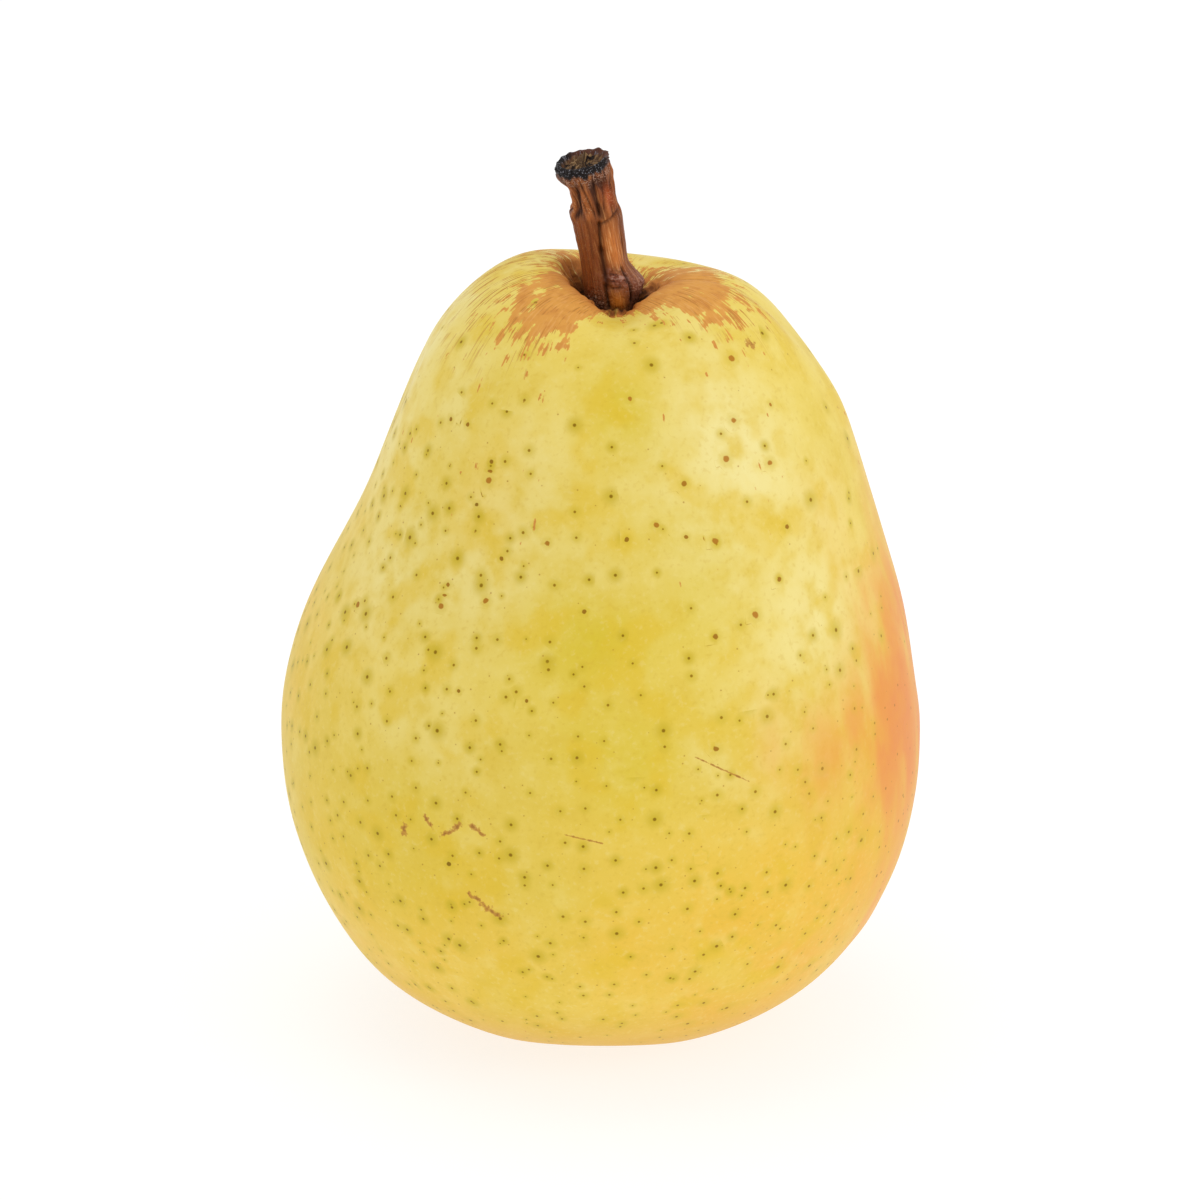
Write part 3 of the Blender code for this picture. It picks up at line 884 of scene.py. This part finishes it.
def skin_material():
    """Ripe pear skin: cutin wax over yellow flesh, semi-matt with a soft broad sheen that is partly painted
    highlight in paler patches, clouded in paler yellow, green and gold, dotted with lenticels, roughened to
    cork where it is russeted, and darkened with painted shade in the crevice round the stem."""
    material, add, shader = new_material("pear_skin_wax", IOR=1.45, Metallic=0.0, Specular_IOR_Level=0.15)
    place = add("TexCoord", output="Object")
    normal = place.node.outputs["Normal"]
    mm = add("VectorMath", [place, (1 / MM, 1 / MM, 1 / MM)], **TIMES)
    numbers = [add("Attribute", output="Fac", attribute_name=name) for name in SKIN_NUMBERS]
    pale_and_highlight, gold, green, amber, blushed, low, pored, russeted, wispy, from_stem = numbers
    vectors = [add("Attribute", output="Vector", attribute_name=name) for name in SKIN_VECTORS]
    spot, spot_tone, scar, streaks = vectors

    noises = []
    for size, detail in SKIN_NOISES.values():
        noises.append(add("TexNoise", {"Vector": mm, "Scale": 1 / size, "Detail": detail}))
    clouds, mottle, grain, flakes, patches, blotches, rubs, pits = noises
    noises = []
    for width, detail in STREAK_NOISES.values():
        scale = STREAK_UNIT_MM / width
        noises.append(add("TexNoise", {"Vector": streaks, "Scale": scale, "Detail": detail}))
    hatching, tongues = noises
    cloudy = add("MapRange", [clouds, 0.2, 0.7], **SOFT)
    tints = [
        # Cream where the pale patches lie: partly paler tone, partly painted highlight
        ([(clouds, 0.38, 0.66)], "f0d668"),
        ([pale_and_highlight, (mottle, 0.10, 0.70)], "f8eaa2"),
        ([gold, cloudy], "f0c442"),
        ([green, cloudy], "dfc530"),
        ([amber, cloudy], "f0b23a"),
        ([(mottle, 0.5, 0.8), 0.35], "f5e184"),
        ([(mottle, 0.5, 0.2), 0.35], "dfbc3c"),
        ([(blotches, 0.50, 0.66), 0.50], "e7c32e"),
        ([low, 0.75], "e4ae3c"),
        ([(grain, 0.55, 0.75), 0.22], "f5e294"),
        ([(grain, 0.45, 0.25), 0.24], "d8b238"),
    ]

    # Blush: a soft flush in streaks that run down the fruit
    down = add("VectorMath", [mm, BLUSH_STREAK_SQUEEZE], **TIMES)
    streaky = add("TexNoise", {"Vector": down, "Scale": 1 / BLUSH_STREAK_MM, "Detail": 4.0})
    streaky = add("MapRange", [streaky, 0.30, 0.62], **SOFT)
    streaky = add("Math", [streaky, 0.48, 0.58], **TIMES_PLUS)
    blush = add("Math", [blushed, streaky], **TIMES)
    tints += [
        ([(blush, 0.0, 0.80), 0.90], "f0a24a"),
        ([(blush, 0.40, 1.05), 0.62], "ea8a44"),
        ([(blush, 0.30, 0.90), (mottle, 0.42, 0.70), 0.35], "ea8a50"),
    ]

    # Lenticels: pores spread evenly, each a small corky dot in a greener ring, which fades where the
    # skin is warm
    pored = add("Math", [pored, 0.78, 0.22], **TIMES_PLUS)
    warm = add("Math", [amber, 0.45, blush], **TIMES_PLUS)
    warm = add("Math", [low, 0.55, warm], **TIMES_PLUS)
    on_yellow = add("Math", [warm, -1.3, 1.0], **TIMES_PLUS)
    on_yellow = add("Math", [on_yellow, 0.0], operation="MAXIMUM")
    unblushed = add("Math", [blush, -0.45, 1.0], **TIMES_PLUS)
    for spacing, share, dot, halo, dot_tint, halo_tint, dot_shows, halo_shows, seed in LENTICEL_KINDS:
        spread = add("VectorMath", [mm, (seed, seed, seed)])
        spacings = {"Vector": spread, "Scale": 1 / spacing, "Randomness": LENTICEL_EVENNESS}
        pore = add("TexVoronoi", spacings, "Position")
        chance = add("SeparateColor", [pore.node.outputs["Color"]])
        away = add("VectorMath", [pore, spread], operation="SUBTRACT")
        deep = add("VectorMath", [away, normal], "Value", operation="DOT_PRODUCT")
        far = add("VectorMath", [away], **LENGTH)
        far = add("Math", [far, far], **TIMES)
        flat = add("Math", [add("Math", [deep, deep], **TIMES), -1.0, far], **TIMES_PLUS)
        flat = add("Math", [flat, 0.5], operation="POWER")
        size = add("Math", [chance.node.outputs[1], 0.7, 0.65], **TIMES_PLUS)
        across = add("Math", [flat, size], operation="DIVIDE")
        depth = add("Math", [deep], operation="ABSOLUTE")
        shallow = add("Math", [depth, HALO_DEPTH * spacing], operation="LESS_THAN")
        there = add("Math", [chance, add("Math", [pored, share], **TIMES)], operation="LESS_THAN")
        there = add("Math", [there, shallow], **TIMES)
        tints.append(([there, (across, halo, 0.0), on_yellow, halo_shows], halo_tint))
        dot_tint = add("Mix", {0: warm, 6: dot_tint, 7: "a8640e"}, 2, data_type="RGBA")
        tints.append(([there, (across, 1.3 * dot, 0.6 * dot), unblushed, dot_shows], dot_tint))

    # Large lenticels and healed rubs, whose places are kept on the mesh
    tone = add("SeparateXYZ", [spot_tone])
    ragged = add("Math", [grain, 0.35, -0.175], **TIMES_PLUS)
    across = add("Math", [add("VectorMath", [spot], **LENGTH), ragged], **PLUS)
    across = add("Math", [across, add("Math", [tone, 0.01], operation="MAXIMUM")], operation="DIVIDE")
    cork = add("Mix", {0: tone.node.outputs[1], 6: "806004", 7: "b8761e"}, 2, data_type="RGBA")
    rubbed = add("Math", [rubs, 6.0, -3.0], **TIMES_PLUS)
    rubbed = add("Math", [add("VectorMath", [scar], **LENGTH), rubbed], **PLUS)
    tints += [
        ([(across, 3.6, 1.0), 0.35], "d2b414"),
        ([(across, 1.15, 0.75), 0.92], cork),
        ([(rubbed, 1.5, 0.6), 0.75], "bb7a36"),
        ([(rubbed, 0.4, -0.4), 0.60], "94602a"),
    ]

    # Russet: a skin of cork round the stem, hatched at its edge, with loose dashes beyond it
    ragged = add("Math", [hatching, 0.65, add("Math", [flakes, 1.1], **TIMES)], **TIMES_PLUS)
    ragged = add("Math", [tongues, 1.1, ragged], **TIMES_PLUS)
    solid = add("Math", [russeted, add("Math", [ragged, -1.425], **PLUS)], **PLUS)
    solid = add("MapRange", [solid, 0.47, 0.53], **SOFT)
    dashed = add("VectorMath", [streaks, DASH_SQUEEZE], **TIMES)
    dashed = add("TexNoise", {"Vector": dashed, "Scale": 1.0, "Detail": 3.0})
    dashed = add("Math", [add("MapRange", [dashed, 0.56, 0.59], **SOFT), wispy], **TIMES)
    dashed = add("Math", [dashed, add("MapRange", [patches, 0.41, 0.50], **SOFT)], **TIMES)
    russet = add("Math", [solid, dashed], operation="MAXIMUM")
    # Towards the stem the skin turns brown, then near black: partly its own wrinkled lip, partly painted
    # shade in the crevice round the stem
    stem_lip_and_shade = add("Math", [from_stem, add("Math", [grain, 2.6, -1.3], **TIMES_PLUS)], **PLUS)
    tints += [
        ([solid, 0.92], "e09a48"),
        ([dashed, 0.85], "c08038"),
        ([russet, (flakes, 0.48, 0.72), 0.45], "c67c3a"),
        ([solid, (hatching, 0.50, 0.34), 0.45], "eeb468"),
        ([russet, (from_stem, 9.5, 4.5), 0.65], "bb6a32"),
        # Painted shade together with the brown lip: dark brown, then near black right at the stem
        ([(stem_lip_and_shade, 5.6, 4.4), 0.80], "74401c"),
        ([(stem_lip_and_shade, 4.4, 3.6), 0.85], "2a1208"),
    ]

    corky = add("MapRange", [russeted, 0.45, 0.6], **SOFT)
    peel = add("Math", [pits, add("Math", [corky, 2.4, 0.6], **TIMES_PLUS)], **TIMES)
    roughness = add("Math", [russet, 0.24, add("Math", [grain, 0.10, 0.38], **TIMES_PLUS)], **TIMES_PLUS)
    bump = add("Bump", {"Height": peel, "Strength": 0.6, "Distance": 0.05 * MM})
    colour = lay_tints(add, "eace58", tints)
    finish_shader(shader, Base_Color=colour, Roughness=roughness, Normal=bump)
    return material


def stem_material():
    """Pear wood twig bark: dry, fibrous and a little shiny, darkened with painted shade in its folds, clefts
    and foot, lit with painted highlights on its fold crests and on the rubbed bump over the knuckle, and
    blackened where the stem broke off, with painted glints on the crust and the torn wood showing olive
    inside."""
    material, add, shader = new_material("twig_bark", IOR=1.5, Metallic=0.0, Specular_IOR_Level=0.22)
    turn = add("Attribute", output="Vector", attribute_name="turn")
    bark = {name: add("Attribute", output="Fac", attribute_name=name) for name in BARK_NUMBERS}
    long_way = add("VectorMath", [turn, FIBRE_SQUEEZE], **TIMES)
    fibres = add("TexNoise", {"Vector": long_way, "Scale": 1 / FIBRE_MM, "Detail": 4.0})
    noises = []
    for size, detail in BARK_NOISES.values():
        noises.append(add("TexNoise", {"Vector": turn, "Scale": 1 / size, "Detail": detail}))
    blotches, flecks, crumbs = noises
    pale_fibres = add("MapRange", [fibres, 0.50, 0.68], **SOFT)
    dark_fibres = add("MapRange", [fibres, 0.50, 0.34], **SOFT)
    # Pale flecks: partly real dust and flecks, partly painted highlights
    pale_flecks_and_highlights = add("MapRange", [flecks, 0.54, 0.66], **SOFT)
    dark_flecks = add("MapRange", [flecks, 0.48, 0.38], **SOFT)
    tints = [
        ([pale_fibres, 0.85], "b87844"),
        ([dark_fibres, 0.75], "5a2a10"),
        ([(blotches, 0.40, 0.62), 0.30], "7a4020"),
        # Painted light and shade from the folds' relief: lighter crests with highlight flecks, near black
        # grooves
        ([(bark["fold"], 0.10, 0.50), 0.80], "b2652f"),
        ([(bark["fold"], 0.30, 0.75), pale_flecks_and_highlights, 0.7], "d8a274"),
        ([(bark["fold"], 0.0, -0.40), 0.90], "3a1a0a"),
        ([bark["panel"], 0.84], "944a18"),
        ([bark["panel"], dark_fibres, 0.30], "5e3010"),
        ([bark["panel"], pale_flecks_and_highlights, 0.60], "b07a40"),
        ([bark["ridge"], 0.90], "de863e"),
        ([bark["ridge"], pale_fibres, 0.9], "eeb478"),
        ([bark["ridge"], dark_fibres, 0.6], "a05320"),
        # The smooth bump over the knuckle: reddish orange, its pale flecks partly real and partly painted
        # highlights
        ([bark["rubbed"], 0.90], "ba541c"),
        ([bark["rubbed"], pale_flecks_and_highlights, 0.8], "d59a70"),
        # The crackle above the toe: purple-brown with dark cracks, its pinkish bits partly painted
        # highlights
        ([bark["crackle"], 0.75], "6e3026"),
        ([bark["crackle"], (crumbs, 0.52, 0.60)], "bd8f80"),
        ([bark["crackle"], (crumbs, 0.48, 0.40)], "260c08"),
        # The basal knob: pink-brown with darker speckles, its grey-lilac flecks partly painted highlights
        ([bark["knob"], 0.85], "9a6450"),
        ([bark["knob"], pale_flecks_and_highlights], "c09c8c"),
        ([bark["knob"], dark_flecks, 0.8], "4e2c22"),
        # Painted shade at the foot: dark brown, with near black flecks
        ([bark["foot"], 0.80], "54301e"),
        ([bark["crumple"], pale_flecks_and_highlights], "96806e"),
        ([bark["foot"], dark_flecks, 0.9], "1e0e08"),
        ([bark["toe"], 0.95], "bc7020"),
        ([bark["toe"], pale_fibres, 0.6], "d08c40"),
        ([bark["below_crust"], (flecks, 0.50, 0.60)], "b08a74"),
        # Painted shade: near black in the clefts, darker where they are deeper
        ([bark["cleft"], (blotches, 0.10, 0.45), 0.95], "2c1207"),
        ([bark["crust"]], "140b08"),
        ([bark["crust"], bark["back"], 0.75], "6a3a26"),
        # Painted glints: grey-blue specks on the black crust
        ([bark["crust"], (flecks, 0.59, 0.63), 0.85], "8e8c94"),
        ([bark["cut"]], "66492c"),
        ([bark["cut"], (crumbs, 0.53, 0.62)], "a58258"),
        ([bark["cut"], (crumbs, 0.48, 0.40)], "1c0e08"),
    ]
    roughness = add("Math", [flecks, 0.5, 0.25], **TIMES_PLUS)
    grain = add("Math", [flecks, 0.5, fibres], **TIMES_PLUS)
    bump = add("Bump", {"Height": grain, "Strength": 1.0, "Distance": 0.22 * MM})
    colour = lay_tints(add, "854820", tints)
    finish_shader(shader, Base_Color=colour, Roughness=roughness, Normal=bump)
    return material


def calyx_material():
    """Withered sepals: papery and brittle, almost black at the cup and tan at the tips."""
    material, add, shader = new_material("withered_sepal", IOR=1.45, Metallic=0.0)
    turn = add("Attribute", output="Vector", attribute_name="turn")
    outward = add("Attribute", output="Fac", attribute_name="outward")
    outwards = add("VectorMath", [turn, VEIN_SQUEEZE], **TIMES)
    veins = add("TexNoise", {"Vector": outwards, "Scale": 1 / VEIN_MM, "Detail": 4.0})
    spots = add("TexNoise", {"Vector": turn, "Scale": 1 / SEPAL_SPOT_MM, "Detail": 3.0})
    tips = add("MapRange", [outward, 2.6, 4.6], **SOFT)
    tints = [
        ([(veins, 0.42, 0.62)], "5c3f28"),
        ([tips, (veins, 0.40, 0.60)], "a88456"),
        ([tips, (spots, 0.52, 0.66), 0.7], "c2a680"),
        ([(spots, 0.46, 0.36), 0.8], "1c100a"),
    ]
    roughness = add("MapRange", {"Value": veins, "To Min": 0.9, "To Max": 0.7})
    bump = add("Bump", {"Height": veins, "Strength": 0.7, "Distance": 0.15 * MM})
    colour = lay_tints(add, "1e120c", tints)
    finish_shader(shader, Base_Color=colour, Roughness=roughness, Normal=bump)
    return material


def dress(piece, material, node):
    piece.data.materials.append(material)
    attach(piece, "root")
    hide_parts(node)


def add_camera():
    data = bpy.data.cameras.new("camera")
    data.sensor_width = SENSOR_MM
    data.lens = LENS_MM
    data.clip_start = 10 * MM
    camera = bpy.data.objects.new("camera", data)
    bpy.context.scene.collection.objects.link(camera)
    x, y, z = VIEW_TARGET
    camera.location = (x, y - VIEW_DISTANCE * np.cos(VIEW_HEIGHT), z + VIEW_DISTANCE * np.sin(VIEW_HEIGHT))
    camera.rotation_euler = (np.pi / 2 - VIEW_HEIGHT, 0, 0)
    bpy.context.scene.camera = camera


def add_softbox(name, place, width, power):
    data = bpy.data.lights.new(name, "AREA")
    data.shape = "DISK"
    data.size = width
    data.energy = power
    light = bpy.data.objects.new(name, data)
    bpy.context.scene.collection.objects.link(light)
    light.location = place
    aim = Vector(LIGHTS_AIM) - Vector(place)
    light.rotation_euler = aim.to_track_quat("-Z", "Y").to_euler()


def add_studio():
    """A white paper sweep, an even white surround, and two softboxes."""
    world = bpy.data.worlds.new("studio")
    world.use_nodes = True
    surround = world.node_tree.nodes["Background"]
    surround.inputs["Color"].default_value = (1, 1, 1, 1)
    surround.inputs["Strength"].default_value = SURROUND_STRENGTH
    bpy.context.scene.world = world
    bpy.context.scene.view_settings.view_transform = "Standard"
    for name, (place, width, power) in SOFTBOXES.items():
        add_softbox(name, place, width, power)

    mesh = bpy.data.meshes.new("paper_sweep")
    half = PAPER_HALF_WIDTH
    corners = [(-half, -half, 0), (half, -half, 0), (half, half, 0), (-half, half, 0)]
    mesh.from_pydata(corners, [], [(0, 1, 2, 3)])
    floor = bpy.data.objects.new("paper_sweep", mesh)
    bpy.context.scene.collection.objects.link(floor)
    material, add, shader = new_material(
        "white_paper", Roughness=0.9, Metallic=0.0, Emission_Color=(1, 1, 1, 1), Emission_Strength=PAPER_GLOW
    )
    tooth = add("TexNoise", {"Vector": add("TexCoord", output="Object"), "Scale": 1 / PAPER_TOOTH})
    finish_shader(shader, Base_Color=lay_tints(add, "949494", [([tooth], "9a9a9a")]))
    floor.data.materials.append(material)


add_camera()
dress(make_skin(), skin_material(), "fruit")
dress(make_stem(), stem_material(), "stem")
dress(make_calyx(), calyx_material(), "calyx")
add_studio()
